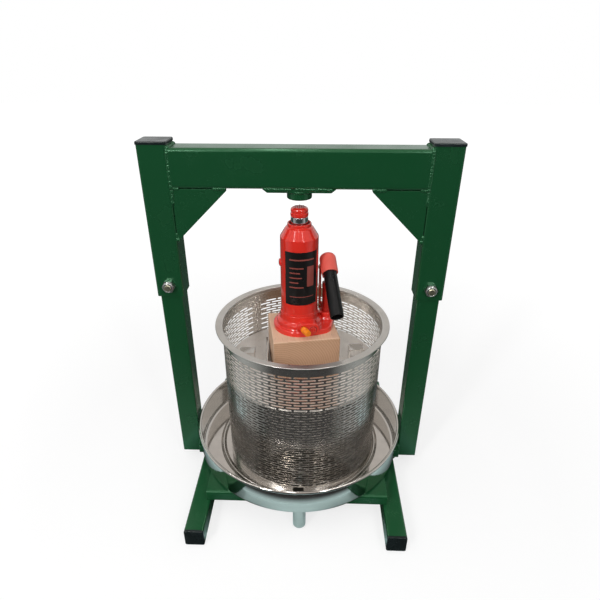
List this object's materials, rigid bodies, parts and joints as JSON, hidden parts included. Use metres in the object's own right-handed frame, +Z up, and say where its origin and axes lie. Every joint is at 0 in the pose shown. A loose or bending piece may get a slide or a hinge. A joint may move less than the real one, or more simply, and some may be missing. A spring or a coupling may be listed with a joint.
{
  "type": "hydraulic fruit press",
  "caption": "fruit press: a bottle jack under a bolted steel yoke pushes a round plate through a slotted basket that stands in a tray with a spout",
  "frame": {"origin": "middle of the footprint, on the ground under the feet", "axes": "+Z up; -Y towards the operator, where the spout hangs; X across the yoke, +X at the pump's side"},
  "size_m": [0.4276, 0.388, 0.5622],
  "materials": {
    "green_paint": "gloss",
    "black_plastic": "satin",
    "zinc": "zinc plated",
    "stainless": "bright rolled",
    "beech": "planed",
    "red_paint": "gloss",
    "bright_steel": "ground",
    "label": "plain print",
    "seal_rubber": "smooth",
    "black_paint": "satin",
    "orange_paint": "gloss"
  },
  "bodies": {
    "frame": {"left_foot": "green_paint", "right_foot": "green_paint", "foot_end_caps": "black_plastic", "base_crossbar": "green_paint", "deck": "green_paint", "left_lower_post": "green_paint", "right_lower_post": "green_paint", "left_upper_post": "green_paint", "right_upper_post": "green_paint", "top_beam": "green_paint", "corner_gussets": "green_paint", "pad_plate": "green_paint", "saddle_ring": "green_paint", "post_top_caps": "black_plastic", "post_bolts": "zinc", "post_nuts": "zinc"},
    "tray": {"tray_bowl": "stainless", "tray_spout": "stainless"},
    "basket": {"basket_wall": "stainless", "basket_hem": "stainless"},
    "press_head": {"press_plate": "stainless", "plate_rails": "stainless", "plate_grips": "stainless", "wood_block": "beech", "jack_base": "red_paint", "oil_tank": "red_paint", "pressure_cylinder": "bright_steel", "tank_gland": "bright_steel", "jack_label": "label", "pump_cylinder": "red_paint", "link_plates": "red_paint", "link_pins": "zinc", "filler_plug": "red_paint", "valve_plug": "red_paint"},
    "ram": {"jack_ram": "bright_steel", "ram_seal": "seal_rubber"},
    "saddle": {"extension_screw": "red_paint"},
    "pump": {"pump_plunger": "bright_steel"},
    "socket": {"handle_socket": "red_paint", "plunger_pin": "zinc"},
    "handle": {"handle_tube": "black_paint"},
    "valve": {"release_valve": "orange_paint"}
  },
  "joints": [
    {"name": "tray_slide", "type": "slide", "parent": "frame", "child": "tray", "axis": [0, -1, 0], "range_m": [0, 0.2]},
    {"name": "basket_lift", "type": "slide", "parent": "tray", "child": "basket", "axis": [0, 0, 1], "range_m": [0, 0.12]},
    {"name": "press_slide", "type": "slide", "parent": "tray", "child": "press_head", "axis": [0, 0, -1], "range_m": [0, 0.107]},
    {"name": "ram_lift", "type": "slide", "parent": "press_head", "child": "ram", "axis": [0, 0, 1], "range_m": [0, 0.107]},
    {"name": "saddle_screw", "type": "slide", "parent": "ram", "child": "saddle", "axis": [0, 0, 1], "range_m": [0, 0.01]},
    {"name": "handle_swing", "type": "hinge", "parent": "press_head", "child": "socket", "pos_m": [0.03985, 0.0274, 0.3702], "axis": [-0.9848, -0.1736, 0], "range_deg": [0, 60]},
    {"name": "plunger_stroke", "type": "slide", "parent": "press_head", "child": "pump", "axis": [0, 0, 1], "range_m": [0, 0.014]},
    {"name": "handle_pull", "type": "slide", "parent": "socket", "child": "handle", "axis": [0.1405, -0.7967, -0.5878], "range_m": [0, 0.024]},
    {"name": "release_turn", "type": "hinge", "parent": "press_head", "child": "valve", "pos_m": [0.00668, -0.03791, 0.2958], "axis": [0.5, -0.866, 0], "range_deg": [0, 360]}
  ],
  "couplings": [
    {"joint": "ram_lift", "follows": "press_slide", "ratio": 1},
    {"joint": "plunger_stroke", "follows": "handle_swing", "m_per_rad": 0.013369}
  ]
}
